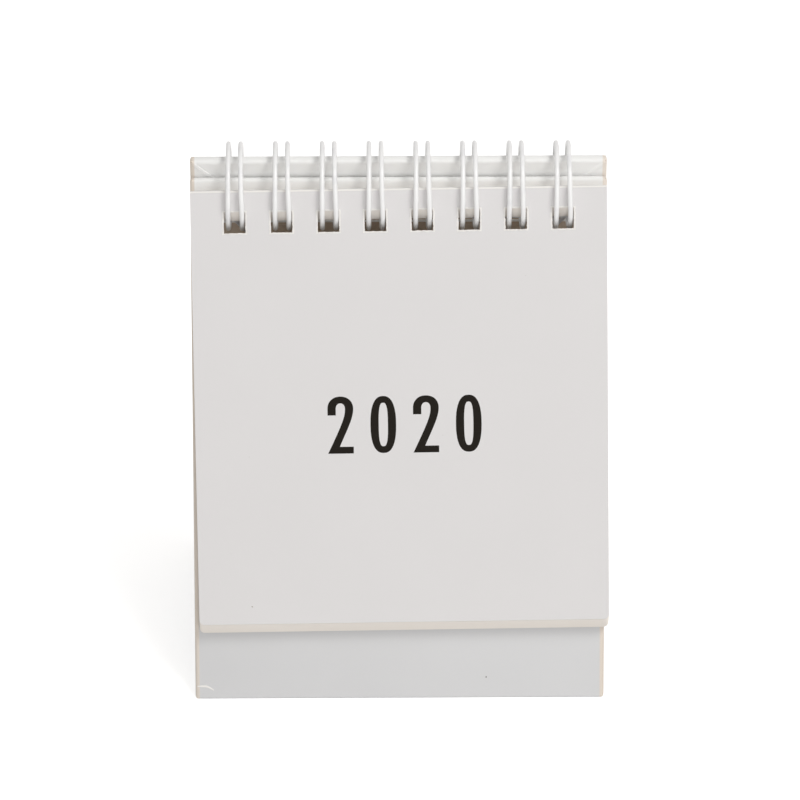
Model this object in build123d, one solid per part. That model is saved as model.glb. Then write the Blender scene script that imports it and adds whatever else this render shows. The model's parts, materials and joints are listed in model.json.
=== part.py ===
"""Desk flip calendar: a tent stand of paper-covered board, a twin-loop wire binding and hanging leaves.

Units are millimetres. X runs along the binding, -Y faces the reader and +Z is up. The origin lies on
the table, below the axis of the wire rings, at the middle of the width.
"""
import math
import os

from build123d import *

# Stand boards
BOARD_WIDTH = 75.4
FRONT_BOARD_HEIGHT = 99.0
BOARD_LEAN = 15.0
CORE_THICKNESS = 1.4
WRAP_THICKNESS = 0.2
TURN_IN_WIDTH = 14.0
TURN_IN_BELOW_HOLES = 0.4
FRONT_TOP_RISE = 1.9
BACK_TOP_RISE = 5.3
BOARD_AXIS_GAP = 0.75

# Base, a card with a centre fold that springs up inside the tent
BASE_CARD_THICKNESS = 0.6
BASE_FACING_THICKNESS = 0.15
BASE_RISE_ANGLE = 40.0
BASE_HINGE_HEIGHT = 1.8
BASE_HINGE_OFFSET = 0.35
BASE_FOLD_GAP = 3.0
BASE_SIDE_INSET = 1.0
HINGE_STRIP_THICKNESS = 0.15
HINGE_STRIP_WIDTH = 8.0

# Twin-loop wire
WIRE_DIAMETER = 0.9
RING_RADIUS = 7.7
LOOP_PITCH = 25.4 / 3
LOOP_EDGE_MARGIN = 5.0
TWIN_SPACING = 2.2
SEAM_ANGLE = 66.0
SEAM_GAP = 0.7
WIRE_END_RUN = 1.0
GAP_SAMPLES = 24
FINGER_ARCS = 4

# Leaves and their punched holes
LEAF_WIDTH = 75.2
LEAF_HEIGHT = 82.0
LEAF_THICKNESS = 0.2
COVER_THICKNESS = 0.24
LEAF_CLEARANCE = 0.03
COVER_CLEARANCE = 0.11
STACK_CLEARANCE = 0.5
LEAF_CORNER_RADIUS = 0.9
LEAF_SKEW = 0.65
MONTH_COUNT = 12
HOLE_SIZE = 4.1
HOLE_TO_TOP = 3.9
LEAF_HANG = 0.4

# Worked out from the sizes above
BOARD_THICKNESS = CORE_THICKNESS + 2 * WRAP_THICKNESS
BOARD_OUTER = BOARD_AXIS_GAP + BOARD_THICKNESS
LEAN_SIN = math.sin(math.radians(BOARD_LEAN))
LEAN_COS = math.cos(math.radians(BOARD_LEAN))
FOOT_DROP = FRONT_BOARD_HEIGHT - FRONT_TOP_RISE
RING_HEIGHT = FOOT_DROP * LEAN_COS - BOARD_OUTER * LEAN_SIN
RING_CENTRE = Vector(0, 0, RING_HEIGHT)
FOOT_ALLOWANCE = 2 * BOARD_THICKNESS
CUT_PAST = BOARD_THICKNESS
WIRE_RADIUS = WIRE_DIAMETER / 2
HAIRPIN_RADIUS = TWIN_SPACING / 2
LOOP_ROW = min(BOARD_WIDTH, LEAF_WIDTH) - 2 * LOOP_EDGE_MARGIN
LOOP_COUNT = math.floor(LOOP_ROW / LOOP_PITCH) + 1
LOOP_PLACES = [(index - (LOOP_COUNT - 1) / 2) * LOOP_PITCH for index in range(LOOP_COUNT)]

# Board planes: local X along the binding, local Y up the board, local Z out of its outer face
FRONT_PLANE = Plane(RING_CENTRE, x_dir=(1, 0, 0), z_dir=(0, -LEAN_COS, LEAN_SIN))
BACK_PLANE = Plane(RING_CENTRE, x_dir=(-1, 0, 0), z_dir=(0, LEAN_COS, LEAN_SIN))


def slab(width, bottom, top, near, far):
    """Return a block centred on local X, from bottom to top in local Y and near to far in local Z."""
    block = Box(width, top - bottom, far - near)
    return Pos(0, (bottom + top) / 2, (near + far) / 2) * block


def wire_drop(offset):
    """Return how far below the ring axis the wire crosses a sheet that lies at this offset."""
    return math.sqrt(RING_RADIUS ** 2 - offset ** 2)


def punch(sheet, centre_height, near, far):
    """Cut the row of square binding holes through a sheet."""
    cutters = []
    for place in LOOP_PLACES:
        cutter = slab(HOLE_SIZE, centre_height - HOLE_SIZE / 2, centre_height + HOLE_SIZE / 2, near, far)
        cutters.append(Pos(place, 0, 0) * cutter)
    return sheet - cutters


def above(height):
    """Return a large block that fills all the space above a height over the table."""
    size = 4 * FRONT_BOARD_HEIGHT
    return Pos(0, 0, height + size / 2) * Box(size, size, size)


def stand_board(plane, top_rise):
    """Make one leaning board: a grey core and the paper that wraps it and turns in over its inner face."""
    foot = -FOOT_DROP - FOOT_ALLOWANCE
    hole_height = -wire_drop(BOARD_AXIS_GAP + BOARD_THICKNESS / 2)
    near = BOARD_AXIS_GAP
    far = BOARD_OUTER
    edge = WRAP_THICKNESS
    core = slab(BOARD_WIDTH - 2 * edge, foot, top_rise - edge, near + edge, far - edge)
    outside = slab(BOARD_WIDTH, foot, top_rise, near, far)
    core = punch(core, hole_height, near - CUT_PAST, far + CUT_PAST)
    outside = punch(outside, hole_height, near - CUT_PAST, far + CUT_PAST)
    core = (plane * core) & above(WRAP_THICKNESS)
    outside = (plane * outside) & above(0)
    window = slab(
        BOARD_WIDTH - 2 * TURN_IN_WIDTH,
        -FOOT_DROP + TURN_IN_WIDTH,
        hole_height - HOLE_SIZE / 2 - TURN_IN_BELOW_HOLES,
        near - edge,
        near + edge,
    )
    wrap = outside - core - plane * window
    return core, wrap


def base_hinge_local():
    """Return the height and offset of a base hinge in its board plane."""
    offset = BOARD_AXIS_GAP - BASE_HINGE_OFFSET
    rise = (BASE_HINGE_HEIGHT - RING_HEIGHT - offset * LEAN_SIN) / LEAN_COS
    return rise, offset


def base_half(plane, side):
    """Make one half of the base with its paper facing below and its hinge strip.

    side is -1 at the front board and +1 at the back board.
    """
    rise, offset = base_hinge_local()
    hinge = plane.from_local_coords(Vector(0, rise, offset))
    rise_angle = math.radians(BASE_RISE_ANGLE)
    along = Vector(0, -side * math.cos(rise_angle), math.sin(rise_angle))
    upward = Vector(0, side * math.sin(rise_angle), math.cos(rise_angle))
    base_plane = Plane(hinge, x_dir=along.cross(upward), z_dir=upward)
    thickness = BASE_CARD_THICKNESS + BASE_FACING_THICKNESS
    start = BASE_HINGE_OFFSET
    top = -BASE_HINGE_OFFSET / 2
    reach = (abs(hinge.Y) - BASE_FOLD_GAP / 2 - thickness * math.sin(rise_angle)) / math.cos(rise_angle)
    width = BOARD_WIDTH - 2 * BASE_SIDE_INSET
    card = base_plane * slab(width, start, reach, top - BASE_CARD_THICKNESS, top)
    facing = base_plane * slab(width, start, reach, top - thickness, top - BASE_CARD_THICKNESS)
    strip = base_plane * slab(width, start, HINGE_STRIP_WIDTH, top, top + HINGE_STRIP_THICKNESS)
    return card, facing, strip, hinge, base_plane.from_local_coords(Vector(0, reach, top))


def fold_strip(front_edge):
    """Make the paper strip over the base's centre fold, from the front half's inner edge."""
    rise_angle = math.radians(BASE_RISE_ANGLE)
    width = BOARD_WIDTH - 2 * BASE_SIDE_INSET
    half = -front_edge.Y
    ridge = front_edge.Z + half * math.tan(rise_angle)
    leg = HINGE_STRIP_WIDTH / 2
    foot_y = half + leg * math.cos(rise_angle)
    foot_z = front_edge.Z - leg * math.sin(rise_angle)
    lift = HINGE_STRIP_THICKNESS / math.cos(rise_angle)
    outline = Polyline(
        (-foot_y, foot_z),
        (0, ridge),
        (foot_y, foot_z),
        (foot_y, foot_z + lift),
        (0, ridge + lift),
        (-foot_y, foot_z + lift),
        close=True,
    )
    section = make_face(Plane.YZ * outline)
    return extrude(section, amount=width / 2, both=True)


def leaf(offset, thickness, skew):
    """Make one punched leaf at this offset from the ring axis, its holes hanging below the wire's middle."""
    hole_height = -wire_drop(offset) - LEAF_HANG
    top = hole_height + HOLE_SIZE / 2 + HOLE_TO_TOP
    near = offset - thickness / 2
    far = offset + thickness / 2
    sheet = slab(LEAF_WIDTH, top - LEAF_HEIGHT, top, near, far)
    corners = sheet.edges().filter_by(Axis.Z).group_by(Axis.Y)[0]
    sheet = fillet(corners, LEAF_CORNER_RADIUS)
    sheet = punch(sheet, hole_height, near - CUT_PAST, far + CUT_PAST)
    turned = Pos(0, hole_height, 0) * Rot(0, 0, skew) * Pos(0, -hole_height, 0) * sheet
    return FRONT_PLANE * turned


def ring_point(place, angle):
    """Return a point on the ring: angle 0 is straight down and grows over the front to the top."""
    turn = math.radians(angle)
    return RING_CENTRE + Vector(place, -RING_RADIUS * math.sin(turn), -RING_RADIUS * math.cos(turn))


def ring_tangent(angle):
    """Return the direction in which the ring angle grows."""
    turn = math.radians(angle)
    return Vector(0, -math.cos(turn), math.sin(turn))


def tangent_arc_points(centre, first, second, radius, turn_from, turn_to):
    """Return start, middle and end of an arc about a centre, in the plane of two unit directions."""
    points = []
    for turn in (turn_from, (turn_from + turn_to) / 2, turn_to):
        step = math.radians(turn)
        points.append(centre + first * (radius * math.cos(step)) + second * (radius * math.sin(step)))
    return points


def wire_edges():
    """Return the edges of the one wire: up a finger, round its hairpin tip, down, and along to the next."""
    base_angle = -SEAM_ANGLE
    link_reach = HAIRPIN_RADIUS
    seam_length = link_reach + HAIRPIN_RADIUS + WIRE_DIAMETER + SEAM_GAP
    tip_angle = base_angle + 360 - math.degrees(seam_length / RING_RADIUS)
    base_way = ring_tangent(base_angle)
    tip_way = ring_tangent(tip_angle)
    along = Vector(1, 0, 0)
    half = TWIN_SPACING / 2
    arc_turn = (tip_angle - base_angle) / FINGER_ARCS
    angles = [base_angle + arc_turn * step for step in range(FINGER_ARCS + 1)]
    edges = []
    first_base = ring_point(LOOP_PLACES[0] - half, base_angle)
    edges.append(Line(first_base - base_way * WIRE_END_RUN, first_base))
    for index, place in enumerate(LOOP_PLACES):
        left = place - half
        right = place + half
        for low, high in zip(angles, angles[1:]):
            middle = (low + high) / 2
            points = [ring_point(left, angle) for angle in (low, middle, high)]
            edges.append(ThreePointArc(*points))
        tip = ring_point(place, tip_angle)
        edges.append(ThreePointArc(*tangent_arc_points(tip, along, tip_way, half, 180, 0)))
        for high, low in zip(angles[::-1], angles[-2::-1]):
            middle = (low + high) / 2
            points = [ring_point(right, angle) for angle in (high, middle, low)]
            edges.append(ThreePointArc(*points))
        if index + 1 < LOOP_COUNT:
            base = ring_point(right, base_angle)
            next_base = ring_point(LOOP_PLACES[index + 1] - half, base_angle)
            leave = base + along * link_reach
            arrive = next_base - along * link_reach
            edges.append(ThreePointArc(*tangent_arc_points(leave, along, base_way, link_reach, 180, 270)))
            edges.append(Line(leave - base_way * link_reach, arrive - base_way * link_reach))
            edges.append(ThreePointArc(*tangent_arc_points(arrive, along, base_way, link_reach, 270, 360)))
    last_base = ring_point(LOOP_PLACES[-1] + half, base_angle)
    edges.append(Line(last_base, last_base - base_way * WIRE_END_RUN))
    return edges


def binding_wire():
    """Sweep the wire and print its least gap to itself and its volume against section times length."""
    edges = wire_edges()
    path = Wire(edges)
    start = path @ 0
    section = Plane(start, z_dir=path % 0) * Circle(WIRE_RADIUS)
    wire = sweep(section, path=path)
    samples = []
    travelled = 0.0
    for edge in edges:
        for step in range(GAP_SAMPLES):
            share = step / GAP_SAMPLES
            samples.append((travelled + edge.length * share, tuple(edge @ share)))
        travelled += edge.length
    least = math.inf
    near_by = math.pi * HAIRPIN_RADIUS
    for index, (place, point) in enumerate(samples):
        for other_place, other in samples[index + 1:]:
            if other_place - place > near_by:
                least = min(least, math.dist(point, other))
    print(f"wire least gap to itself: {least - WIRE_DIAMETER:.3f} mm")
    print(f"wire volume {wire.volume:.2f}, section times length {math.pi * WIRE_RADIUS ** 2 * travelled:.2f}")
    return wire


def stack_offsets():
    """Return name, offset and thickness of every leaf, from the board out to the cover."""
    names = ["notes_leaf"]
    for month in range(MONTH_COUNT, 0, -1):
        names.append(f"month_leaf_{month:02d}")
    rows = []
    face = BOARD_OUTER + STACK_CLEARANCE
    for name in names:
        rows.append((name, face + LEAF_THICKNESS / 2, LEAF_THICKNESS))
        face += LEAF_THICKNESS + LEAF_CLEARANCE
    cover_face = face - LEAF_CLEARANCE + COVER_CLEARANCE
    rows.append(("cover_leaf", cover_face + COVER_THICKNESS / 2, COVER_THICKNESS))
    return rows


def make_parts():
    """Return every piece of the calendar under its node name."""
    parts = {}
    parts["front_board_core"], parts["front_board_wrap"] = stand_board(FRONT_PLANE, FRONT_TOP_RISE)
    parts["back_board_core"], parts["back_board_wrap"] = stand_board(BACK_PLANE, BACK_TOP_RISE)
    card, facing, strip, hinge, front_edge = base_half(FRONT_PLANE, -1)
    parts["base_front_card"] = card
    parts["base_front_facing"] = facing
    parts["base_front_hinge_strip"] = strip
    print(f"front base hinge at Y {hinge.Y:.4f}, Z {hinge.Z:.4f}")
    card, facing, strip, hinge, _ = base_half(BACK_PLANE, 1)
    parts["base_rear_card"] = card
    parts["base_rear_facing"] = facing
    parts["base_rear_hinge_strip"] = strip
    print(f"rear base hinge at Y {hinge.Y:.4f}, Z {hinge.Z:.4f}")
    parts["base_fold_strip"] = fold_strip(front_edge)
    parts["binding_wire"] = binding_wire()
    for name, offset, thickness in stack_offsets():
        parts[name] = leaf(offset, thickness, LEAF_SKEW)
    return parts


def main():
    """Build the parts and write one file per node."""
    os.makedirs("parts", exist_ok=True)
    print(f"ring axis at height {RING_HEIGHT:.4f}")
    for name, part in make_parts().items():
        export_step(part, f"parts/{name}.step")


main()
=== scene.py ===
"""Desk flip calendar: finishes, prints, wrapped boards, wire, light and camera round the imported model.

Lengths are metres. X runs along the binding, -Y faces the reader and +Z is up.
"""
import calendar
import json
import logging
import math
import random
from dataclasses import dataclass
from enum import Enum
from typing import Any, Dict, Iterable, List, Optional, Sequence, Tuple, Union

import bpy
from mathutils import Matrix, Vector


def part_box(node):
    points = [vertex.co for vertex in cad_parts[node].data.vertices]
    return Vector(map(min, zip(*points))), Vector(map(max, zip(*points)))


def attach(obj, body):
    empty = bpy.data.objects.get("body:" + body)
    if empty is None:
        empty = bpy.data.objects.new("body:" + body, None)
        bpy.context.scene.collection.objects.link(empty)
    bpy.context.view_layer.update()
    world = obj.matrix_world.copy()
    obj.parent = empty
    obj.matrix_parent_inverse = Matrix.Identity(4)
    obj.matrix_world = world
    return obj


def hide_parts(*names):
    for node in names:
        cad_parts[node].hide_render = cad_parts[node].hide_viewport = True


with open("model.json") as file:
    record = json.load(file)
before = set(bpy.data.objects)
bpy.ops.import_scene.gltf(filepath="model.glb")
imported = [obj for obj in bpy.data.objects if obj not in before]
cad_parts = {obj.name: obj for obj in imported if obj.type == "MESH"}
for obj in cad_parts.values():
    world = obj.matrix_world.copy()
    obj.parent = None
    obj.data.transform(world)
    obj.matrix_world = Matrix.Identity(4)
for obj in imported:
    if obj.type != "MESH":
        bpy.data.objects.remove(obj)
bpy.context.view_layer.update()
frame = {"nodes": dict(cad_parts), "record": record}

log = logging.getLogger("calendar")

MM = 0.001
Colour = Tuple[float, float, float]
Stretch = Tuple[float, float, float]
SocketKey = Union[str, int]
WHITE: Colour = (1.0, 1.0, 1.0)

# The model's own sizes that the dressed pieces follow
BOARD_LEAN = 15.0
BOARD_WIDTH = 75.4 * MM
BOARD_DROP = 97.1 * MM
FRONT_TOP_RISE = 1.9 * MM
BACK_TOP_RISE = 5.3 * MM
BOARD_INNER = 0.75 * MM
BOARD_OUTER = 2.55 * MM
WRAP_THICKNESS = 0.2 * MM
TURN_IN_WIDTH = 14.0 * MM
TURN_IN_BELOW_HOLES = 0.4 * MM
RING_RADIUS = 7.7 * MM
WIRE_RADIUS = 0.45 * MM
LOOP_COUNT = 8
LOOP_PITCH = 25.4 / 3 * MM
TWIN_SPACING = 2.2 * MM
SEAM_ANGLE = 66.0
SEAM_GAP = 0.7 * MM
WIRE_END_RUN = 1.0 * MM
HOLE_SIZE = 4.1 * MM
HOLE_TO_TOP = 3.9 * MM
LEAF_HANG = 0.4 * MM
LEAF_WIDTH = 75.2 * MM
LEAF_THICKNESS = 0.2 * MM
COVER_THICKNESS = 0.24 * MM
LEAF_CLEARANCE = 0.03 * MM
COVER_CLEARANCE = 0.11 * MM
STACK_CLEARANCE = 0.5 * MM
LEAF_SKEW = 0.65
MONTH_COUNT = 12
WEEK_DAYS = 7
YEAR = 2020

# Faces that meet at less than these angles in degrees are shaded as one
EDGE_ANGLE = 35.0
TUBE_ANGLE = 60.0


def joint_place(name: str) -> Vector:
    """Return the place of a joint's axis at rest.

    Args:
        name: the joint's name in the record.

    Returns:
        The point that the record gives for it.
    """
    rows = frame["record"]["behaviour"]["joints"]
    return Vector(next(row["pos_m"] for row in rows if row["name"] == name))


RING_CENTRE = joint_place("stand_fold")
LOOP_PLACES = [(index - (LOOP_COUNT - 1) / 2) * LOOP_PITCH for index in range(LOOP_COUNT)]


class Side(Enum):
    """Which of the tent's two leaning planes a sheet lies in."""

    FRONT = -1
    BACK = 1

    def matrix(self) -> Matrix:
        """Return the map from (along the binding, up the board, out of its face) to the model's frame."""
        lean = math.radians(BOARD_LEAN)
        way = self.value
        along = Vector((-way, 0, 0))
        up = Vector((0, -way * math.sin(lean), math.cos(lean)))
        out = Vector((0, way * math.cos(lean), math.sin(lean)))
        turn = Matrix((along, up, out)).transposed().to_4x4()
        return Matrix.Translation(RING_CENTRE) @ turn


def wire_drop(offset: float) -> float:
    """Return how far below the ring axis the wire crosses a sheet at this offset."""
    return math.sqrt(RING_RADIUS ** 2 - offset ** 2)


def linear(red: int, green: int, blue: int) -> Colour:
    """Return the linear colour of a screen colour given from 0 to 255."""
    channels = []
    for value in (red, green, blue):
        share = value / 255
        channels.append(share / 12.92 if share <= 0.04045 else ((share + 0.055) / 1.055) ** 2.4)
    return channels[0], channels[1], channels[2]


class Value:
    """A shader socket that takes part in Python arithmetic."""

    def __init__(self, paint: "Paint", socket: bpy.types.NodeSocket) -> None:
        """Keep the paint that owns the socket, and the socket."""
        self.paint = paint
        self.socket = socket

    def _math(self, operation: str, first: Any, second: Any) -> "Value":
        """Add one Math node and return its result."""
        return self.paint.node("ShaderNodeMath", {"operation": operation}, {0: first, 1: second})

    def __add__(self, other: Any) -> "Value":
        """Return self + other."""
        return self._math("ADD", self, other)

    def __mul__(self, other: Any) -> "Value":
        """Return self times other."""
        return self._math("MULTIPLY", self, other)

    def blend(self, other: "Value", share: float) -> "Value":
        """Return this value and another, mixed.

        Args:
            other: the second value.
            share: how much of this one goes in, from 0 to 1.

        Returns:
            The weighted mean.
        """
        return self * share + other * (1 - share)

    def around(self, middle: float, spread: float) -> "Value":
        """Return this noise laid about a middle value, over a spread."""
        return self * spread + (middle - spread / 2)

    def over(self, limit: float, soft: float) -> "Value":
        """Return a soft step.

        Args:
            limit: where the step starts to rise from 0.
            soft: how far past the limit it reaches 1.

        Returns:
            The step, from 0 to 1.
        """
        settings = {"interpolation_type": "SMOOTHSTEP"}
        ends = {"Value": self, "From Min": limit, "From Max": limit + soft}
        return self.paint.node("ShaderNodeMapRange", settings, ends)


class Paint:
    """A material under construction: its nodes, its Principled shader and the object's own coordinates."""

    def __init__(self, name: str) -> None:
        """Start an empty material with a Principled shader."""
        self.material = bpy.data.materials.new(name)
        self.material.use_nodes = True
        self.tree = self.material.node_tree
        self.tree.nodes.clear()
        self.shader = self.tree.nodes.new("ShaderNodeBsdfPrincipled")
        self.output = self.tree.nodes.new("ShaderNodeOutputMaterial")
        self.tree.links.new(self.shader.outputs[0], self.output.inputs["Surface"])
        self.place = self.node("ShaderNodeTexCoord", {}, {}, "Object")

    def put(self, socket: bpy.types.NodeSocket, value: Any) -> None:
        """Link a value to a socket, or set a constant on it."""
        if isinstance(value, Value):
            self.tree.links.new(value.socket, socket)
        elif isinstance(value, tuple) and socket.type == "RGBA":
            socket.default_value = (*value, 1.0)
        else:
            socket.default_value = value

    def node(
        self, kind: str, settings: Dict[str, Any], inputs: Dict[SocketKey, Any], out: SocketKey = 0
    ) -> Value:
        """Add any node.

        Args:
            kind: the node's type.
            settings: attributes that are set before its sockets.
            inputs: constants or values for its sockets, by name or number.
            out: the output to return.

        Returns:
            The chosen output as a value.
        """
        made = self.tree.nodes.new(kind)
        for name, setting in settings.items():
            setattr(made, name, setting)
        for name, value in inputs.items():
            self.put(made.inputs[name], value)
        return Value(self, made.outputs[out])

    def noise(self, scale: float, detail: float = 3.0, place: Optional[Value] = None) -> Value:
        """Return a noise of this many cells to the metre."""
        return self.node(
            "ShaderNodeTexNoise", {}, {"Vector": place or self.place, "Scale": scale, "Detail": detail}
        )

    def stretched(self, ways: Stretch) -> Value:
        """Return the object's coordinates scaled along each axis."""
        return self.node("ShaderNodeMapping", {}, {"Vector": self.place, "Scale": ways})

    def axis(self, name: str) -> Value:
        """Return one of the object's own coordinates, X, Y or Z."""
        return self.node("ShaderNodeSeparateXYZ", {}, {0: self.place}, name)

    def mix(self, share: Value, first: Any, second: Any) -> Value:
        """Return a colour between two, by a share from 0 to 1."""
        return self.node("ShaderNodeMix", {"data_type": "RGBA"}, {0: share, 6: first, 7: second}, 2)

    def bump(self, height: Value, depth: float, strength: float) -> None:
        """Feed a height to the surface's normal.

        Args:
            height: the height, from 0 to 1.
            depth: the real depth of that range.
            strength: how much of it shows.
        """
        normal = self.node("ShaderNodeBump", {}, {"Height": height, "Distance": depth, "Strength": strength})
        self.put(self.shader.inputs["Normal"], normal)

    def finish(self, **sockets: Any) -> bpy.types.Material:
        """Set the shader's sockets, with spaces written as underscores, and return the material."""
        for name, value in sockets.items():
            self.put(self.shader.inputs[name.replace("_", " ")], value)
        return self.material


@dataclass(frozen=True)
class PaperFinish:
    """Uncoated paper: mottled tint, fine fibres, a few specks of the pulp."""

    name: str
    tint: Colour
    shade: Colour
    speck: Colour = linear(168, 158, 146)
    mottle_scale: float = 55.0
    fibre_scale: float = 2600.0
    speck_scale: float = 1150.0
    speck_limit: float = 0.83
    speck_soft: float = 0.02
    mottle_share: float = 0.7
    fibre_share: float = 0.6
    thread_stretch: Stretch = (1.0, 2.6, 0.5)
    fibre_depth: float = 0.02 * MM
    fibre_strength: float = 0.25
    roughness: float = 0.82
    rough_spread: float = 0.12
    specular: float = 0.25

    def make(self) -> bpy.types.Material:
        """Return the paper's material."""
        paint = Paint(self.name)
        mottle = paint.noise(self.mottle_scale, detail=4.0)
        fibre = paint.noise(self.fibre_scale, detail=5.0)
        threads = paint.noise(self.fibre_scale / 3, place=paint.stretched(self.thread_stretch))
        speck = paint.noise(self.speck_scale, detail=1.0).over(self.speck_limit, self.speck_soft)
        base = paint.mix(mottle.blend(fibre, self.mottle_share), self.shade, self.tint)
        colour = paint.mix(speck, base, self.speck)
        paint.bump(fibre.blend(threads, self.fibre_share), self.fibre_depth, self.fibre_strength)
        rough = fibre.around(self.roughness, self.rough_spread)
        return paint.finish(Base_Color=colour, Roughness=rough, Specular_IOR_Level=self.specular)


@dataclass(frozen=True)
class WrapFinish:
    """White wrapping paper: faint fibres, a few specks, a beige band of painted shade along the side edges
    and a painted highlight over the top of the board.
    """

    name: str
    tint: Colour
    shade: Colour
    # Painted shade: the beige colour of the band along both side edges, standing for the shade on the rounded
    # edges.
    glue: Colour = linear(236, 222, 206)
    speck: Colour = linear(120, 116, 112)
    # Painted highlight: the wrap is painted paler above a given height, for the light caught by the top of
    # the board.
    crown: Colour = linear(252, 252, 251)
    edge_band: float = 0.95 * MM
    edge_soft: float = 0.35 * MM
    crown_start: float = 88.0 * MM
    crown_soft: float = 3.0 * MM
    cloud_scale: float = 42.0
    cloud_share: float = 0.75
    fibre_scale: float = 2400.0
    fibre_share: float = 0.5
    fibre_depth: float = 0.03 * MM
    fibre_strength: float = 0.2
    speck_scale: float = 620.0
    speck_limit: float = 0.845
    speck_soft: float = 0.015
    speck_share: float = 0.8
    glue_share: float = 0.7
    glue_spread: float = 0.5
    roughness: float = 0.78
    rough_spread: float = 0.12
    specular: float = 0.3

    def make(self) -> bpy.types.Material:
        """Return the wrap's material."""
        paint = Paint(self.name)
        cloud = paint.noise(self.cloud_scale, detail=4.0)
        fibre = paint.noise(self.fibre_scale, detail=5.0)
        speck = paint.noise(self.speck_scale, detail=1.0).over(self.speck_limit, self.speck_soft)
        # Painted shade: a beige band along both side edges of the board.
        side = paint.node("ShaderNodeMath", {"operation": "ABSOLUTE"}, {0: paint.axis("X")})
        edge = side.over(BOARD_WIDTH / 2 - self.edge_band, self.edge_soft)
        # Painted highlight: paler paper over the top of the board.
        top = paint.axis("Z").over(self.crown_start, self.crown_soft)
        base = paint.mix(cloud.blend(fibre, self.cloud_share), self.shade, self.tint)
        pale = paint.mix(top, base, self.crown)
        edge_shaded = paint.mix(edge * cloud.around(self.glue_share, self.glue_spread), pale, self.glue)
        colour = paint.mix(speck * self.speck_share, edge_shaded, self.speck)
        paint.bump(fibre.blend(cloud, self.fibre_share), self.fibre_depth, self.fibre_strength)
        rough = fibre.around(self.roughness, self.rough_spread)
        return paint.finish(Base_Color=colour, Roughness=rough, Specular_IOR_Level=self.specular)


@dataclass(frozen=True)
class GreyBoardFinish:
    """Raw grey board: pressed pulp with light and dark fibres."""

    name: str = "raw_grey_board"
    dark: Colour = linear(194, 178, 161)
    light: Colour = linear(212, 198, 182)
    fibre: Colour = linear(224, 212, 197)
    pulp_scale: float = 380.0
    pulp_share: float = 0.5
    pulp_depth: float = 0.06 * MM
    pulp_strength: float = 0.5
    thread_scale: float = 900.0
    thread_stretch: Stretch = (0.4, 2.2, 2.2)
    fibre_limit: float = 0.64
    fibre_soft: float = 0.05
    fibre_share: float = 0.6
    roughness: float = 0.92
    specular: float = 0.15

    def make(self) -> bpy.types.Material:
        """Return the board's material."""
        paint = Paint(self.name)
        pulp = paint.noise(self.pulp_scale, detail=6.0)
        threads = paint.noise(self.thread_scale, detail=2.0, place=paint.stretched(self.thread_stretch))
        base = paint.mix(pulp, self.dark, self.light)
        shown = threads.over(self.fibre_limit, self.fibre_soft) * self.fibre_share
        colour = paint.mix(shown, base, self.fibre)
        paint.bump(pulp.blend(threads, self.pulp_share), self.pulp_depth, self.pulp_strength)
        return paint.finish(Base_Color=colour, Roughness=self.roughness, Specular_IOR_Level=self.specular)


@dataclass(frozen=True)
class CoatedWireFinish:
    """White nylon-coated steel wire with a satin skin."""

    name: str = "white_coated_wire"
    tint: Colour = linear(252, 252, 252)
    worn: Colour = linear(238, 238, 240)
    cloud_scale: float = 240.0
    worn_limit: float = 0.52
    worn_soft: float = 0.25
    grain_scale: float = 3800.0
    grain_depth: float = 0.01 * MM
    grain_strength: float = 0.12
    roughness: float = 0.34
    rough_spread: float = 0.14
    coat: float = 0.25
    coat_roughness: float = 0.2

    def make(self) -> bpy.types.Material:
        """Return the wire's material."""
        paint = Paint(self.name)
        cloud = paint.noise(self.cloud_scale)
        grain = paint.noise(self.grain_scale, detail=2.0)
        colour = paint.mix(cloud.over(self.worn_limit, self.worn_soft), self.tint, self.worn)
        paint.bump(grain, self.grain_depth, self.grain_strength)
        rough = cloud.around(self.roughness, self.rough_spread)
        return paint.finish(
            Base_Color=colour, Roughness=rough, Coat_Weight=self.coat, Coat_Roughness=self.coat_roughness
        )


@dataclass(frozen=True)
class InkFinish:
    """Matte printing ink that sinks a little into the paper."""

    name: str
    tint: Colour
    thin: Colour
    sink_scale: float = 3000.0
    sink_depth: float = 0.01 * MM
    sink_strength: float = 0.2
    thin_limit: float = 0.55
    thin_soft: float = 0.2
    thin_share: float = 0.5
    roughness: float = 0.75
    specular: float = 0.12

    def make(self) -> bpy.types.Material:
        """Return the ink's material."""
        paint = Paint(self.name)
        sink = paint.noise(self.sink_scale, detail=4.0)
        colour = paint.mix(sink.over(self.thin_limit, self.thin_soft) * self.thin_share, self.tint, self.thin)
        paint.bump(sink, self.sink_depth, self.sink_strength)
        return paint.finish(Base_Color=colour, Roughness=self.roughness, Specular_IOR_Level=self.specular)


@dataclass(frozen=True)
class FloorFinish:
    """Pale studio floor that the camera sees near white, with the object's shadow kept."""

    name: str = "pale_floor"
    tint: Colour = (0.94, 0.94, 0.94)
    shade: Colour = (0.92, 0.92, 0.92)
    lift: float = 0.62
    mottle_scale: float = 3.0
    roughness: float = 0.9
    specular: float = 0.1

    def make(self) -> bpy.types.Material:
        """Return the floor's material."""
        paint = Paint(self.name)
        path = paint.tree.nodes.new("ShaderNodeLightPath")
        seen = paint.node("ShaderNodeMath", {"operation": "MAXIMUM"}, {
            0: Value(paint, path.outputs["Is Camera Ray"]), 1: Value(paint, path.outputs["Is Glossy Ray"]),
        })
        glow = paint.tree.nodes.new("ShaderNodeEmission")
        paint.put(glow.inputs["Color"], WHITE)
        paint.put(glow.inputs["Strength"], seen * self.lift)
        both = paint.tree.nodes.new("ShaderNodeAddShader")
        paint.tree.links.new(paint.shader.outputs[0], both.inputs[0])
        paint.tree.links.new(glow.outputs[0], both.inputs[1])
        paint.tree.links.new(both.outputs[0], paint.output.inputs["Surface"])
        colour = paint.mix(paint.noise(self.mottle_scale), self.tint, self.shade)
        return paint.finish(Base_Color=colour, Roughness=self.roughness, Specular_IOR_Level=self.specular)


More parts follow.
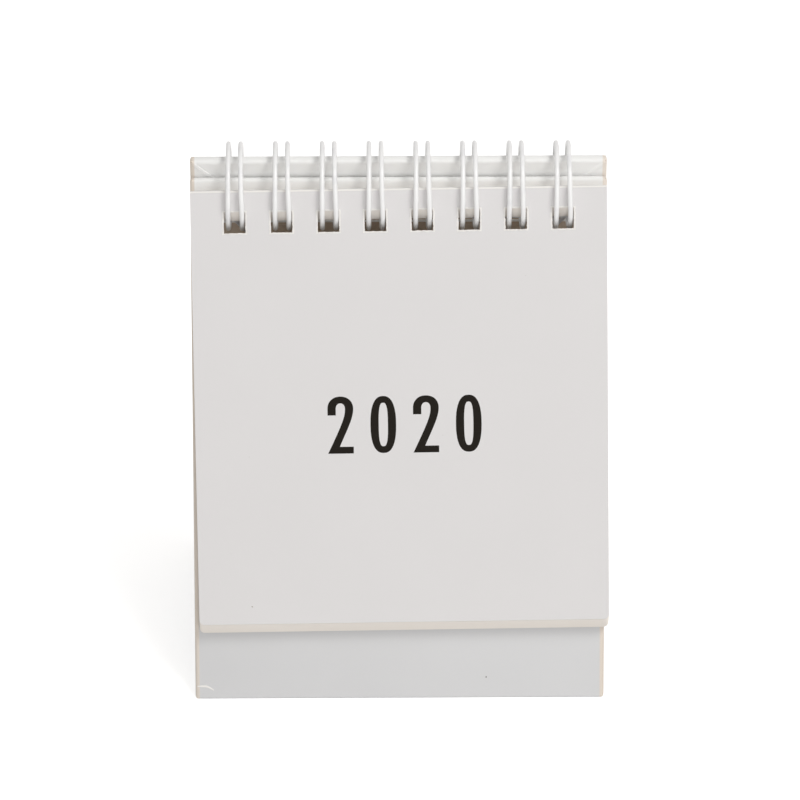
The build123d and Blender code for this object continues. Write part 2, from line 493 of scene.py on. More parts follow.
class Finishes:
    """The materials of the calendar, made once."""

    def __init__(self) -> None:
        """Make every material."""
        self.cover = PaperFinish("cover_paper", linear(234, 232, 232), linear(229, 227, 227)).make()
        self.leaf = PaperFinish("leaf_paper", linear(251, 246, 240), linear(245, 239, 232)).make()
        # front_wrap_paper and back_wrap_paper are one paper in two brightnesses: the back copy is painted
        # paler, as painted light on its inner face, which faces down and gets less light; the front copy is
        # the darker one.
        self.wrap = WrapFinish("front_wrap_paper", linear(225, 225, 226), linear(217, 217, 218)).make()
        self.back_wrap = WrapFinish("back_wrap_paper", linear(250, 250, 248), linear(245, 245, 243)).make()
        self.card = PaperFinish("base_card", linear(236, 233, 228), linear(226, 222, 214)).make()
        self.tape = PaperFinish("hinge_paper", linear(241, 239, 234), linear(231, 228, 221)).make()
        # Pale paper, lighter than the cover and the wrap: on the hole rims partly torn fibre and partly
        # painted highlight, on the corner crease and the cover's top edge a painted highlight.
        self.torn = PaperFinish("torn_edge_and_highlight", linear(252, 250, 247), linear(244, 241, 237)).make()
        self.board = GreyBoardFinish().make()
        self.wire = CoatedWireFinish().make()
        self.ink = InkFinish("dark_ink", linear(31, 27, 22), linear(46, 41, 36)).make()
        self.pale_ink = InkFinish("pale_ink", linear(128, 122, 114), linear(150, 144, 136)).make()
        self.floor = FloorFinish().make()


def clear_selection() -> None:
    """Leave edit mode and deselect everything."""
    if bpy.context.object is not None and bpy.context.object.mode != "OBJECT":
        bpy.ops.object.mode_set(mode="OBJECT")
    bpy.ops.object.select_all(action="DESELECT")


def select_only(piece: bpy.types.Object) -> None:
    """Make a piece the only selected and the active one."""
    clear_selection()
    piece.select_set(True)
    bpy.context.view_layer.objects.active = piece


def block(name: str, low: Sequence[float], high: Sequence[float]) -> bpy.types.Object:
    """Add a box between two corners with its size in its mesh.

    Args:
        name: the new object's name.
        low: its lowest corner.
        high: its highest corner.

    Returns:
        The box.
    """
    clear_selection()
    bpy.ops.mesh.primitive_cube_add(size=1.0)
    piece = bpy.context.object
    piece.name = name
    size = [top - bottom for bottom, top in zip(low, high)]
    middle = [(top + bottom) / 2 for bottom, top in zip(low, high)]
    piece.data.transform(Matrix.Translation(middle) @ Matrix.Diagonal((*size, 1.0)))
    return piece


def apply_modifier(piece: bpy.types.Object, kind: str, **settings: Any) -> None:
    """Add one modifier and apply it.

    Args:
        piece: the object to change.
        kind: the modifier's type.
        settings: attributes of the modifier.
    """
    select_only(piece)
    modifier = piece.modifiers.new(kind.lower(), kind)
    for name, value in settings.items():
        setattr(modifier, name, value)
    bpy.ops.object.modifier_apply(modifier=modifier.name)


def carve(piece: bpy.types.Object, cutter: bpy.types.Object) -> None:
    """Cut one object out of another and delete the cutter."""
    apply_modifier(piece, "BOOLEAN", operation="DIFFERENCE", solver="EXACT", object=cutter)
    bpy.data.objects.remove(cutter, do_unlink=True)


def join(name: str, pieces: Sequence[bpy.types.Object]) -> bpy.types.Object:
    """Join pieces into one object of this name."""
    clear_selection()
    for piece in pieces:
        piece.select_set(True)
    bpy.context.view_layer.objects.active = pieces[0]
    bpy.ops.object.join()
    pieces[0].name = name
    return pieces[0]


def copy_of(piece: bpy.types.Object, place: Matrix) -> bpy.types.Object:
    """Return a copy with a mesh of its own, moved by a matrix."""
    twin = piece.copy()
    twin.data = piece.data.copy()
    twin.data.transform(place)
    bpy.context.collection.objects.link(twin)
    return twin


def keep_above(piece: bpy.types.Object, height: float) -> None:
    """Cut away what lies below a height over the table, and close the cut."""
    select_only(piece)
    bpy.ops.object.mode_set(mode="EDIT")
    bpy.ops.mesh.select_all(action="SELECT")
    bpy.ops.mesh.bisect(plane_co=(0, 0, height), plane_no=(0, 0, 1), clear_inner=True, use_fill=True)
    bpy.ops.object.mode_set(mode="OBJECT")


def smooth(piece: bpy.types.Object, angle: float = EDGE_ANGLE) -> None:
    """Shade faces smooth where they meet at less than an angle in degrees."""
    select_only(piece)
    bpy.ops.object.shade_smooth_by_angle(angle=math.radians(angle))


def tube(name: str, radius: float, resolution: int) -> bpy.types.Curve:
    """Start a round tube with closed ends.

    Args:
        name: the curve's name.
        radius: the tube's radius.
        resolution: how finely its section is divided.

    Returns:
        The curve, still without a route.
    """
    curve = bpy.data.curves.new(name, "CURVE")
    curve.dimensions = "3D"
    curve.bevel_depth = radius
    curve.bevel_resolution = resolution
    curve.use_fill_caps = True
    return curve


def add_spline(curve: bpy.types.Curve, kind: str, points: Sequence[Vector]) -> bpy.types.Spline:
    """Add a spline through or along these points, and return it."""
    spline = curve.splines.new(kind)
    spline.points.add(len(points) - 1)
    for slot, point in zip(spline.points, points):
        slot.co = (*point, 1.0)
    return spline


def mesh_from(name: str, curve: bpy.types.Curve) -> bpy.types.Object:
    """Return a new mesh object made from a curve."""
    piece = bpy.data.objects.new(name, curve)
    bpy.context.collection.objects.link(piece)
    select_only(piece)
    bpy.ops.object.convert(target="MESH")
    return bpy.context.object


def dress(
    piece: bpy.types.Object, material: bpy.types.Material, body: str, replaced: Iterable[str] = ()
) -> None:
    """Give a piece its material and its body, and hide the nodes that it stands for.

    Args:
        piece: the finished piece.
        material: its material.
        body: the body that it rides on.
        replaced: nodes that it replaces.
    """
    piece.data.materials.clear()
    piece.data.materials.append(material)
    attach(piece, body)
    for node in replaced:
        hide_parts(node)
    log.info("%s rides on %s", piece.name, body)


def repaint(node: str, material: bpy.types.Material) -> None:
    """Give a node of the model a better material."""
    piece = frame["nodes"][node]
    if not piece.material_slots:
        piece.data.materials.append(material)
    for slot in piece.material_slots:
        slot.material = material


@dataclass
class WrappedBoard:
    """One leaning board: its paper wrap with rounded edges, turned in over the grey core."""

    side: Side
    body: str
    node: str
    top_rise: float
    edge_round: float = 0.58 * MM
    fit: float = 0.004 * MM
    foot_allowance: float = 4.0 * MM
    side_turn_in: float = 5.5 * MM
    hole_round: float = 0.25 * MM
    ridge_width: float = 0.7 * MM
    ridge_height: float = 0.07 * MM
    ridge_sunk: float = 0.05 * MM
    ridge_round: float = 0.03 * MM
    ridge_start: float = 0.6 * MM
    ridge_short: float = 1.2 * MM
    ridge_foot: float = 0.5 * MM

    def hole_height(self) -> float:
        """Return the height of the punched holes over the ring axis."""
        return -wire_drop((BOARD_INNER + BOARD_OUTER) / 2)

    def shell(self) -> bpy.types.Object:
        """Return the wrap as a shell with its holes and the open window on its inner face."""
        half = BOARD_WIDTH / 2
        foot = -BOARD_DROP - self.foot_allowance
        wrap = block(f"{self.node}_paper", (-half, foot, BOARD_INNER), (half, self.top_rise, BOARD_OUTER))
        wrap.data.transform(self.side.matrix())
        keep_above(wrap, 0)
        apply_modifier(wrap, "BEVEL", width=self.edge_round, segments=4, limit_method="ANGLE")
        wrap.data.transform(self.side.matrix().inverted())
        for place in LOOP_PLACES:
            carve(wrap, self.hole(place))
        carve(wrap, self.core())
        inset = half - self.side_turn_in
        low = (-inset, -BOARD_DROP + TURN_IN_WIDTH, BOARD_INNER - WRAP_THICKNESS)
        top = self.hole_height() - HOLE_SIZE / 2 - TURN_IN_BELOW_HOLES
        high = (inset, top, BOARD_INNER + WRAP_THICKNESS)
        carve(wrap, block("window", low, high))
        return wrap

    def hole(self, place: float) -> bpy.types.Object:
        """Return a cutter for one punched hole."""
        half = HOLE_SIZE / 2
        height = self.hole_height()
        low = (place - half, height - half, BOARD_INNER - MM)
        high = (place + half, height + half, BOARD_OUTER + MM)
        cutter = block("hole", low, high)
        apply_modifier(cutter, "BEVEL", width=self.hole_round, segments=3)
        return cutter

    def core(self) -> bpy.types.Object:
        """Return a cutter just larger than the grey core."""
        inset = WRAP_THICKNESS - self.fit
        half = BOARD_WIDTH / 2 - inset
        foot = -BOARD_DROP - self.foot_allowance
        low = (-half, foot, BOARD_INNER + inset)
        high = (half, self.top_rise - inset, BOARD_OUTER - inset)
        cutter = block("core", low, high)
        cutter.data.transform(self.side.matrix())
        keep_above(cutter, inset)
        cutter.data.transform(self.side.matrix().inverted())
        return cutter

    def mitre_ridges(self) -> bpy.types.Object:
        """Return the four slanted folds where the turned-in paper laps at the corners of the inner face."""
        reach = TURN_IN_WIDTH * math.sqrt(2) - self.ridge_short
        low = (self.ridge_start, -self.ridge_width / 2, -self.ridge_height)
        high = (reach, self.ridge_width / 2, self.ridge_sunk)
        strip = block("mitre", low, high)
        apply_modifier(strip, "BEVEL", width=self.ridge_round, segments=2)
        half = BOARD_WIDTH / 2
        foot = -BOARD_DROP + self.ridge_foot
        top = self.top_rise
        corners = [(half, top, 225), (-half, top, 315), (half, foot, 135), (-half, foot, 45)]
        copies = []
        for across, up, turn in corners:
            slant = Matrix.Rotation(math.radians(turn), 4, "Z")
            copies.append(copy_of(strip, Matrix.Translation((across, up, BOARD_INNER)) @ slant))
        bpy.data.objects.remove(strip, do_unlink=True)
        return join(f"{self.node}_mitres", copies)

    def build(self, finishes: Finishes) -> None:
        """Build and dress the board."""
        wrap = self.shell()
        ridges = self.mitre_ridges()
        for piece in (wrap, ridges):
            piece.data.transform(self.side.matrix())
            smooth(piece)
        # The back board gets the painted-paler copy of the same wrap paper.
        paper = finishes.wrap if self.side is Side.FRONT else finishes.back_wrap
        dress(wrap, paper, self.body, [self.node])
        dress(ridges, paper, self.body)


@dataclass
class CornerCrease:
    """The wrinkle that the wrap's fold leaves at the front board's lower left corner, drawn in pale paper as
    a painted highlight.

    Its route is in millimetres to the right of that corner and up from it.
    """

    route: Tuple[Tuple[float, float], ...] = ((0.4, 2.6), (1.3, 2.65), (2.3, 2.6), (3.4, 1.85))
    radius: float = 0.24 * MM
    sunk_share: float = 0.6
    start_share: float = 0.75
    end_share: float = 0.7

    def build(self, finishes: Finishes) -> None:
        """Build the wrinkle as a low ridge on the board's face."""
        corner = Vector((-BOARD_WIDTH / 2, -BOARD_DROP, BOARD_OUTER - self.radius * self.sunk_share))
        points = [corner + Vector((across, up, 0)) * MM for across, up in self.route]
        curve = tube("corner_crease", self.radius, 3)
        spline = add_spline(curve, "NURBS", points)
        spline.points[0].radius = self.start_share
        spline.points[-1].radius = self.end_share
        spline.order_u = 3
        spline.use_endpoint_u = True
        piece = mesh_from("corner_crease", curve)
        piece.data.transform(Side.FRONT.matrix())
        smooth(piece, TUBE_ANGLE)
        # The crease's pale paper is a painted highlight on the wrinkle.
        dress(piece, finishes.torn, "front_stand")


@dataclass
class BindingWire:
    """The one white wire: eight twin loops, hairpin tips and the linked spine at the back."""

    step: float = 3.6
    bend_steps: int = 8
    section: int = 4
    spread: float = 0.17 * MM
    lean: float = 0.16 * MM
    front_angle: float = 60.0
    front_reach: float = 55.0
    seed: int = 11

    def strayed(self, place: float, way: int, lean: float, angle: float) -> Vector:
        """Return a point of one wire of a twin, which stands wider and leans a little at the leaves.

        Args:
            place: the middle of the twin.
            way: -1 for its left wire and 1 for its right one.
            lean: how far the twin leans to the right in front.
            angle: the ring angle in degrees.

        Returns:
            The point on the wire's middle line.
        """
        share = math.exp(-((angle - self.front_angle) / self.front_reach) ** 2)
        return self.ring_point(place + way * (TWIN_SPACING / 2 + self.spread * share) + lean * share, angle)

    def ring_point(self, place: float, angle: float) -> Vector:
        """Return a point of the ring; angle 0 is straight down and grows over the front to the top."""
        turn = math.radians(angle)
        return RING_CENTRE + Vector((place, -RING_RADIUS * math.sin(turn), -RING_RADIUS * math.cos(turn)))

    @staticmethod
    def tangent(angle: float) -> Vector:
        """Return the direction in which the ring angle grows."""
        turn = math.radians(angle)
        return Vector((0, -math.cos(turn), math.sin(turn)))

    def bend(self, centre: Vector, first: Vector, second: Vector, start: float, end: float) -> List[Vector]:
        """Return points inside a bend, without its two end points.

        Args:
            centre: the middle of the bend.
            first: the direction of angle 0.
            second: the direction of angle 90.
            start: the first angle in degrees.
            end: the last angle in degrees.

        Returns:
            The points from the first angle to the last.
        """
        radius = TWIN_SPACING / 2
        points = []
        for index in range(1, self.bend_steps):
            turn = math.radians(start + (end - start) * index / self.bend_steps)
            points.append(centre + first * (radius * math.cos(turn)) + second * (radius * math.sin(turn)))
        return points

    def route(self) -> List[Vector]:
        """Return the wire's middle line from end to end."""
        half = TWIN_SPACING / 2
        base = -SEAM_ANGLE
        lost = math.degrees((2 * half + 2 * WIRE_RADIUS + SEAM_GAP) / RING_RADIUS)
        tip = base + 360 - lost
        count = int((tip - base) / self.step)
        angles = [base + (tip - base) * index / count for index in range(count + 1)]
        along = Vector((1, 0, 0))
        base_way = self.tangent(base)
        points = [self.ring_point(LOOP_PLACES[0] - half, base) - base_way * WIRE_END_RUN]
        draw = random.Random(self.seed)
        for index, place in enumerate(LOOP_PLACES):
            lean = draw.uniform(0, self.lean)
            points += [self.strayed(place, -1, lean, angle) for angle in angles]
            points += self.bend(self.ring_point(place, tip), along, self.tangent(tip), 180, 0)
            points += [self.strayed(place, 1, lean, angle) for angle in reversed(angles)]
            if index + 1 < LOOP_COUNT:
                leave = self.ring_point(place + 2 * half, base)
                arrive = self.ring_point(LOOP_PLACES[index + 1] - 2 * half, base)
                points += self.bend(leave, along, base_way, 180, 270)
                points += [leave - base_way * half, arrive - base_way * half]
                points += self.bend(arrive, along, base_way, 270, 360)
        points.append(self.ring_point(LOOP_PLACES[-1] + half, base) - base_way * WIRE_END_RUN)
        return points

    def build(self, finishes: Finishes) -> None:
        """Build the wire as one round tube along its route."""
        curve = tube("twin_loop_wire", WIRE_RADIUS, self.section)
        add_spline(curve, "POLY", self.route())
        piece = mesh_from("twin_loop_wire", curve)
        smooth(piece, TUBE_ANGLE)
        dress(piece, finishes.wire, "front_stand", ["binding_wire"])


@dataclass
class Leaf:
    """One hanging leaf: where its front face lies and how it is turned."""

    node: str
    body: str
    offset: float
    thickness: float

    def hole_height(self) -> float:
        """Return the height of its holes over the ring axis."""
        return -wire_drop(self.offset) - LEAF_HANG

    def top(self) -> float:
        """Return the height of its top edge over the ring axis."""
        return self.hole_height() + HOLE_SIZE / 2 + HOLE_TO_TOP

    def matrix(self) -> Matrix:
        """Return the map from (across, down from the top edge, out of the face) to the model's frame."""
        pivot = Matrix.Translation((0, self.hole_height(), 0))
        turn = Matrix.Rotation(math.radians(LEAF_SKEW), 4, "Z")
        face = self.offset + self.thickness / 2
        start = Matrix.Translation((0, self.top(), face))
        return Side.FRONT.matrix() @ pivot @ turn @ pivot.inverted() @ start


def leaf_stack() -> List[Leaf]:
    """Return the leaves from the board out to the cover."""
    names = ["notes"] + [f"month_{month:02d}" for month in range(MONTH_COUNT, 0, -1)]
    rows = []
    face = BOARD_OUTER + STACK_CLEARANCE
    for name in names:
        node = name.replace("month", "month_leaf") if "month" in name else f"{name}_leaf"
        rows.append(Leaf(node, name, face + LEAF_THICKNESS / 2, LEAF_THICKNESS))
        face += LEAF_THICKNESS + LEAF_CLEARANCE
    cover_face = face - LEAF_CLEARANCE + COVER_CLEARANCE
    rows.append(Leaf("cover_leaf", "cover", cover_face + COVER_THICKNESS / 2, COVER_THICKNESS))
    return rows


@dataclass
class CoverNumerals:
    """The large plain numerals of the year, drawn as outlines from arcs and bends."""

    height: float = 10.8 * MM
    width: float = 4.68 * MM
    pitch: float = 7.78 * MM
    side_stroke: float = 1.5 * MM
    level_stroke: float = 1.28 * MM
    hook_drop: float = 3.55 * MM
    top: float = 38.83 * MM
    shift: float = 0.55 * MM
    bow_power: float = 2.15
    outer_power: float = 2.45
    inner_power: float = 2.9
    elbow_share: float = 0.46
    outer_fall: float = 0.17
    outer_share: float = 0.42
    outer_push: float = 0.2 * MM
    inner_fall: float = 0.14
    inner_share: float = 0.68
    inner_push: float = 0.55 * MM
    ink_depth: float = 0.006 * MM
    steps: int = 40

    def oval(
        self, across: float, up: float, middle: float, power: float, start: float = 0, end: float = 360
    ) -> List[Vector]:
        """Return points on a slightly squared oval.

        Args:
            across: its half width.
            up: its half height.
            middle: the height of its centre.
            power: 2 for an ellipse, more for squarer shoulders.
            start: the first angle in degrees.
            end: the last angle in degrees.

        Returns:
            The points from the first angle to the last.
        """
        points = []
        for index in range(self.steps + 1):
            turn = math.radians(start + (end - start) * index / self.steps)
            x = math.copysign(abs(math.cos(turn)) ** (2 / power), math.cos(turn))
            y = math.copysign(abs(math.sin(turn)) ** (2 / power), math.sin(turn))
            points.append(Vector((across * x, middle + up * y, 0)))
        return points

    def bend(self, ends: Sequence[Vector]) -> List[Vector]:
        """Return points inside a cubic bend, without its two end points."""
        points = []
        for index in range(1, self.steps):
            share = index / self.steps
            back = 1 - share
            weights = (back ** 3, 3 * back ** 2 * share, 3 * back * share ** 2, share ** 3)
            points.append(sum((end * weight for end, weight in zip(ends, weights)), Vector()))
        return points

    def zero(self) -> List[List[Vector]]:
        """Return the outer and the inner outline of a 0 whose top middle is the origin."""
        middle = -self.height / 2
        half_width = self.width / 2
        half_height = self.height / 2
        outer = self.oval(half_width, half_height, middle, self.outer_power)
        inner_width = half_width - self.side_stroke
        inner = self.oval(inner_width, half_height - self.level_stroke, middle, self.inner_power)
        return [outer[:-1], inner[:-1]]

    def two(self) -> List[List[Vector]]:
        """Return the outline of a 2 whose top middle is the origin, from hook over bow to foot."""
        half = self.width / 2
        inner = half - self.side_stroke
        bow = -half
        foot = -self.height
        bar = foot + self.level_stroke
        crook = -self.hook_drop
        outer_bow = self.oval(half, -bow, bow, self.bow_power, 180, 0)
        inner_bow = self.oval(inner, -bow - self.level_stroke, bow, self.bow_power, 0, 180)
        elbow = Vector((-half + self.elbow_share * self.width, bar, 0))
        corner = Vector((-half, foot, 0))
        right = outer_bow[-1]
        within = inner_bow[0]
        right_low = right + Vector((0, foot * self.outer_fall, 0))
        within_low = within + Vector((0, foot * self.inner_fall, 0))
        outer_pull = elbow.lerp(right, self.outer_share) + Vector((self.outer_push, 0, 0))
        inner_pull = corner.lerp(within, self.inner_share) + Vector((self.inner_push, 0, 0))
        outer_bend = self.bend([right, right_low, outer_pull, elbow])
        inner_bend = self.bend([corner, inner_pull, within_low, within])
        outline = [Vector((-half, crook, 0)), *outer_bow, *outer_bend, elbow]
        outline += [Vector((half, bar, 0)), Vector((half, foot, 0)), corner]
        outline += [*inner_bend, *inner_bow, Vector((-inner, crook, 0))]
        return [outline]

    def numeral(self, digit: str) -> bpy.types.Object:
        """Return one numeral as a thin mesh with its top middle at the origin."""
        curve = bpy.data.curves.new(f"numeral_{digit}", "CURVE")
        curve.dimensions = "2D"
        curve.fill_mode = "BOTH"
        curve.extrude = self.ink_depth / 2
        for outline in self.zero() if digit == "0" else self.two():
            add_spline(curve, "POLY", outline).use_cyclic_u = True
        piece = mesh_from(f"numeral_{digit}", curve)
        piece.data.transform(Matrix.Translation((0, 0, self.ink_depth / 2)))
        return piece

    def build(self, leaf: Leaf, finishes: Finishes) -> None:
        """Print the year on the cover."""
        digits = str(YEAR)
        pieces = []
        for index, digit in enumerate(digits):
            piece = self.numeral(digit)
            across = (index - (len(digits) - 1) / 2) * self.pitch + self.shift
            piece.data.transform(Matrix.Translation((across, -self.top, 0)))
            pieces.append(piece)
        year = join("cover_numerals", pieces)
        year.data.transform(leaf.matrix())
        dress(year, finishes.ink, leaf.body)


@dataclass
class HoleRims:
    """The torn, slightly raised paper edge round each hole of the cover, in pale paper that is partly torn
    fibre and partly painted highlight.
    """

    width: float = 0.13 * MM
    height: float = 0.05 * MM
    ragged: float = 0.11 * MM
    height_shares: Tuple[float, float] = (0.3, 1.1)
    top_edge: float = 0.32 * MM
    cuts: int = 9
    seed: int = 7

    def rim(self, draw: random.Random) -> bpy.types.Object:
        """Return one ragged square rim centred on the origin."""
        clear_selection()
        bpy.ops.mesh.primitive_plane_add(size=HOLE_SIZE + 2 * self.width)
        piece = bpy.context.object
        bpy.ops.object.mode_set(mode="EDIT")
        bpy.ops.mesh.inset(thickness=self.width + self.ragged / 2)
        bpy.ops.mesh.delete(type="FACE")
        bpy.ops.mesh.select_all(action="SELECT")
        bpy.ops.mesh.subdivide(number_cuts=self.cuts)
        bpy.ops.mesh.extrude_region_move(TRANSFORM_OT_translate={"value": (0, 0, self.height)})
        bpy.ops.object.mode_set(mode="OBJECT")
        for vertex in piece.data.vertices:
            shift = Vector((draw.uniform(-1, 1), draw.uniform(-1, 1), 0)) * self.ragged
            vertex.co += shift
            if vertex.co.z > self.height / 2:
                vertex.co.z *= draw.uniform(*self.height_shares)
        select_only(piece)
        bpy.ops.object.mode_set(mode="EDIT")
        bpy.ops.mesh.select_all(action="SELECT")
        bpy.ops.mesh.normals_make_consistent(inside=False)
        bpy.ops.object.mode_set(mode="OBJECT")
        return piece

    def build(self, leaf: Leaf, finishes: Finishes) -> None:
        """Set a rim round every hole of the cover, and along its top a pale strip that is a painted highlight
        on the cut edge.
        """
        draw = random.Random(self.seed)
        middle = -(HOLE_TO_TOP + HOLE_SIZE / 2)
        rims = []
        for place in LOOP_PLACES:
            rim = self.rim(draw)
            rim.data.transform(Matrix.Translation((place, middle, 0)))
            rims.append(rim)
        half = LEAF_WIDTH / 2
        # Painted highlight: a pale strip laid on the face along the cover's top edge.
        rims.append(block("top_edge", (-half, -self.top_edge, 0), (half, 0, self.height)))
        ring = join("cover_hole_rims", rims)
        ring.data.transform(leaf.matrix())
        dress(ring, finishes.torn, leaf.body)


@dataclass
class MonthPrint:
    """The plain day numbers, rules and month number printed on a month leaf."""

    column: float = 9.4 * MM
    row: float = 8.6 * MM
    grid_top: float = 27.0 * MM
    day_size: float = 4.0 * MM
    month_size: float = 9.0 * MM
    month_drop: float = 14.0 * MM
    rule: float = 0.18 * MM
    rule_rise: float = 5.6 * MM
    tick_rise: float = 6.6 * MM
    tick_height: float = 0.5 * MM
    tick_width: float = 1.8 * MM
    ink_depth: float = 0.004 * MM
    days: int = 31

    def number(self, text: str, size: float) -> bpy.types.Object:
        """Return a plain number as a thin mesh centred on the origin."""
        clear_selection()
        bpy.ops.object.text_add()
        words = bpy.context.object
        words.data.body = text
        words.data.size = size
        words.data.align_x = "CENTER"
        words.data.align_y = "CENTER"
        words.data.resolution_u = 3
        words.data.extrude = self.ink_depth / 2
        bpy.ops.object.convert(target="MESH")
        piece = bpy.context.object
        piece.data.transform(Matrix.Translation((0, 0, self.ink_depth / 2)))
        return piece

    def across(self, column: int) -> float:
        """Return the place of a weekday's column across the leaf, with the middle one at 0."""
        return (column - (WEEK_DAYS - 1) / 2) * self.column

    def rules(self) -> bpy.types.Object:
        """Return the fine rule under the month number and the seven column ticks."""
        half = WEEK_DAYS * self.column / 2
        level = -self.grid_top + self.rule_rise
        marks = [block("rule", (-half, level, 0), (half, level + self.rule, self.ink_depth))]
        tick = -self.grid_top + self.tick_rise
        for column in range(WEEK_DAYS):
            middle = self.across(column)
            low = (middle - self.tick_width / 2, tick, 0)
            high = (middle + self.tick_width / 2, tick + self.tick_height, self.ink_depth)
            marks.append(block("tick", low, high))
        return join("rules", marks)

    def build(self, leaves: Sequence[Leaf], finishes: Finishes) -> None:
        """Print every month leaf.

        Args:
            leaves: the month leaves, first month first.
            finishes: the materials.
        """
        numbers = {day: self.number(str(day), self.day_size) for day in range(1, self.days + 1)}
        rules = self.rules()
        for month, leaf in enumerate(leaves, start=1):
            pieces = [copy_of(rules, Matrix.Identity(4))]
            title = self.number(str(month), self.month_size)
            title.data.transform(Matrix.Translation((self.across(0), -self.month_drop, 0)))
            pieces.append(title)
            for week, row in enumerate(calendar.monthcalendar(YEAR, month)):
                for column, day in enumerate(row):
                    if day:
                        place = (self.across(column), -self.grid_top - week * self.row, 0)
                        pieces.append(copy_of(numbers[day], Matrix.Translation(place)))
            sheet = join(f"{leaf.body}_print", pieces)
            sheet.data.transform(leaf.matrix())
            dress(sheet, finishes.ink, leaf.body)
        for piece in [*numbers.values(), rules]:
            bpy.data.objects.remove(piece, do_unlink=True)


@dataclass
class NotesPrint:
    """Pale ruled lines on the notes leaf."""

    first: float = 18.0 * MM
    spacing: float = 6.0 * MM
    count: int = 10
    margin: float = 7.0 * MM
    rule: float = 0.16 * MM
    ink_depth: float = 0.004 * MM

    def build(self, leaf: Leaf, finishes: Finishes) -> None:
        """Rule the notes leaf."""
        half = LEAF_WIDTH / 2 - self.margin
        lines = []
        for index in range(self.count):
            drop = -self.first - index * self.spacing
            lines.append(block("line", (-half, drop, 0), (half, drop + self.rule, self.ink_depth)))
        sheet = join("notes_print", lines)
        sheet.data.transform(leaf.matrix())
        dress(sheet, finishes.pale_ink, leaf.body)


@dataclass
class FoldStrip:
    """The paper strip over the base's centre fold, one wing on each half of the base."""

    thickness: float = 0.15 * MM
    tuck: float = 0.02 * MM
    edge_round: float = 0.05 * MM

    def wing(self, name: str, side: Side) -> bpy.types.Object:
        """Return one wing, from the ridge down to its lower edge."""
        low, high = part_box("base_fold_strip")
        start = Vector((0, side.value * self.tuck, high[2]))
        rise = high[2] - low[2] - self.thickness
        run = high[1]
        angle = math.atan2(rise, run)
        length = math.hypot(rise, run)
        half = (high[0] - low[0]) / 2
        wing = block(name, (-half, 0, -self.thickness), (half, length, 0))
        apply_modifier(wing, "BEVEL", width=self.edge_round, segments=2)
        turn = Matrix.Rotation(-angle, 4, "X")
        flip = Matrix.Identity(4) if side is Side.BACK else Matrix.Rotation(math.pi, 4, "Z")
        wing.data.transform(Matrix.Translation(start) @ flip @ turn)
        return wing

    def build(self, finishes: Finishes) -> None:
        """Build both wings."""
        front = self.wing("fold_strip_front", Side.FRONT)
        rear = self.wing("fold_strip_rear", Side.BACK)
        dress(front, finishes.tape, "base_front", ["base_fold_strip"])
        dress(rear, finishes.tape, "base_rear")


@dataclass(frozen=True)
class Lamp:
    """One square area lamp that faces the calendar."""

    name: str
    place: Tuple[float, float, float]
    energy: float
    size: float
    tint: Colour


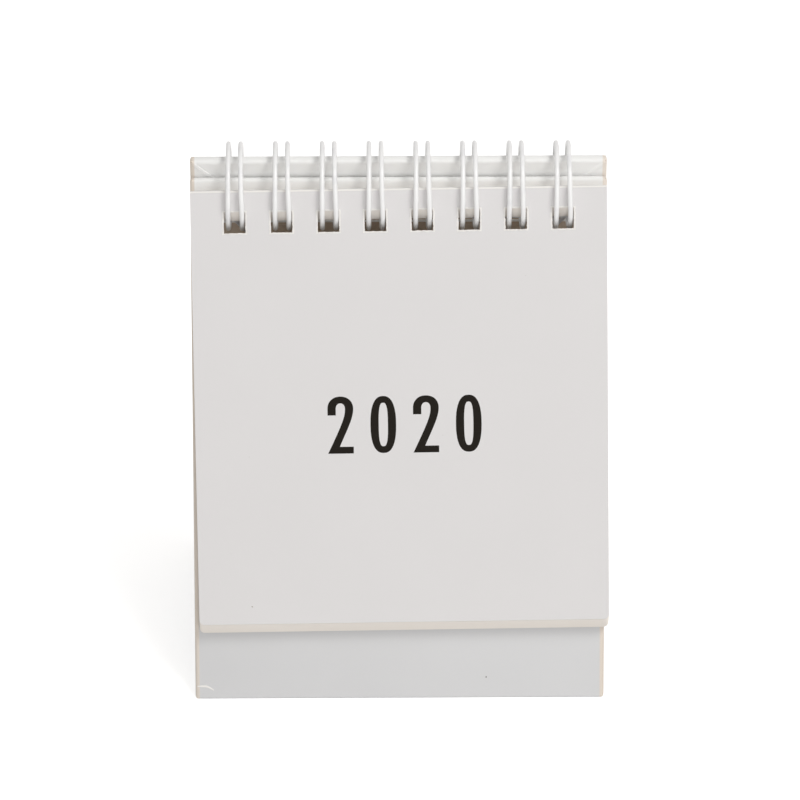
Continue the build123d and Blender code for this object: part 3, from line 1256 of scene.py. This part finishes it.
@dataclass
class Studio:
    """Floor, light and camera."""

    floor_size: float = 6.0
    azimuth: float = 0.456
    elevation: float = 31.043
    distance: float = 1.2268
    target: Tuple[float, float, float] = (0.0, -0.013, 0.05)
    focal_pixels: float = 6710.7
    image_pixels: float = 800.0
    centre_x: float = 399.08
    centre_y: float = 426.4
    sensor: float = 36.0
    near_clip: float = 0.01
    key: Lamp = Lamp("key", (0.5, -0.6, 1.2), 7.4, 0.45, (1.0, 0.99, 0.975))
    fill: Lamp = Lamp("fill", (0.15, -1.45, 0.45), 3.2, 0.7, (0.98, 0.99, 1.0))
    world_strength: float = 0.41
    world_tint: Colour = (1.0, 0.985, 0.965)

    def floor(self, finishes: Finishes) -> None:
        """Lay the floor."""
        clear_selection()
        bpy.ops.mesh.primitive_plane_add(size=self.floor_size)
        floor = bpy.context.object
        floor.name = "floor"
        floor.data.materials.append(finishes.floor)

    def hang(self, lamp: Lamp) -> None:
        """Hang one lamp and aim it at the calendar."""
        data = bpy.data.lights.new(lamp.name, "AREA")
        data.energy = lamp.energy
        data.size = lamp.size
        data.color = lamp.tint
        piece = bpy.data.objects.new(lamp.name, data)
        piece.location = lamp.place
        way = Vector(self.target) - Vector(lamp.place)
        piece.rotation_euler = way.to_track_quat("-Z", "Y").to_euler()
        bpy.context.collection.objects.link(piece)

    def world(self) -> None:
        """Make the surroundings: even light, and white where the camera or a reflection looks."""
        world = bpy.data.worlds.new("studio")
        world.use_nodes = True
        tree = world.node_tree
        tree.nodes.clear()
        path = tree.nodes.new("ShaderNodeLightPath")
        seen = tree.nodes.new("ShaderNodeMath")
        seen.operation = "MAXIMUM"
        tree.links.new(path.outputs["Is Camera Ray"], seen.inputs[0])
        tree.links.new(path.outputs["Is Glossy Ray"], seen.inputs[1])
        light = tree.nodes.new("ShaderNodeBackground")
        light.inputs["Color"].default_value = (*self.world_tint, 1.0)
        light.inputs["Strength"].default_value = self.world_strength
        white = tree.nodes.new("ShaderNodeBackground")
        white.inputs["Color"].default_value = (*WHITE, 1.0)
        mixed = tree.nodes.new("ShaderNodeMixShader")
        tree.links.new(seen.outputs[0], mixed.inputs["Fac"])
        tree.links.new(light.outputs[0], mixed.inputs[1])
        tree.links.new(white.outputs[0], mixed.inputs[2])
        out = tree.nodes.new("ShaderNodeOutputWorld")
        tree.links.new(mixed.outputs[0], out.inputs["Surface"])
        bpy.context.scene.world = world

    def camera(self) -> None:
        """Place the camera at the photograph's angle, for a square image."""
        data = bpy.data.cameras.new("camera")
        data.sensor_fit = "HORIZONTAL"
        data.sensor_width = self.sensor
        data.lens = self.focal_pixels * self.sensor / self.image_pixels
        data.shift_x = (self.image_pixels / 2 - self.centre_x) / self.image_pixels
        data.shift_y = (self.centre_y - self.image_pixels / 2) / self.image_pixels
        data.clip_start = self.near_clip
        camera = bpy.data.objects.new("camera", data)
        turn = math.radians(self.azimuth)
        lift = math.radians(self.elevation)
        way = Vector((math.sin(turn) * math.cos(lift), math.cos(turn) * math.cos(lift), -math.sin(lift)))
        camera.location = Vector(self.target) - way * self.distance
        camera.rotation_euler = way.to_track_quat("-Z", "Y").to_euler()
        bpy.context.collection.objects.link(camera)
        bpy.context.scene.camera = camera

    def build(self, finishes: Finishes) -> None:
        """Set up the studio."""
        self.floor(finishes)
        self.hang(self.key)
        self.hang(self.fill)
        self.world()
        self.camera()
        bpy.context.scene.view_settings.view_transform = "Standard"


def repaint_nodes(finishes: Finishes, leaves: Sequence[Leaf]) -> None:
    """Give the model's own sheets, cards and cores their finishes."""
    for leaf in leaves:
        repaint(leaf.node, finishes.cover if leaf.body == "cover" else finishes.leaf)
    for half in ("front", "rear"):
        repaint(f"base_{half}_card", finishes.card)
        repaint(f"base_{half}_facing", finishes.wrap)
        repaint(f"base_{half}_hinge_strip", finishes.tape)
    for board in ("front", "back"):
        repaint(f"{board}_board_core", finishes.board)


def main() -> None:
    """Build the calendar's pieces in order, then the studio."""
    logging.basicConfig(level=logging.INFO, format="%(name)s: %(message)s")
    clear_selection()
    finishes = Finishes()
    leaves = leaf_stack()
    by_body = {leaf.body: leaf for leaf in leaves}
    repaint_nodes(finishes, leaves)
    WrappedBoard(Side.FRONT, "front_stand", "front_board_wrap", FRONT_TOP_RISE).build(finishes)
    WrappedBoard(Side.BACK, "back_stand", "back_board_wrap", BACK_TOP_RISE).build(finishes)
    CornerCrease().build(finishes)
    BindingWire().build(finishes)
    CoverNumerals().build(by_body["cover"], finishes)
    HoleRims().build(by_body["cover"], finishes)
    months = [by_body[f"month_{month:02d}"] for month in range(1, MONTH_COUNT + 1)]
    MonthPrint().build(months, finishes)
    NotesPrint().build(by_body["notes"], finishes)
    FoldStrip().build(finishes)
    Studio().build(finishes)


if __name__ == "__main__":
    main()
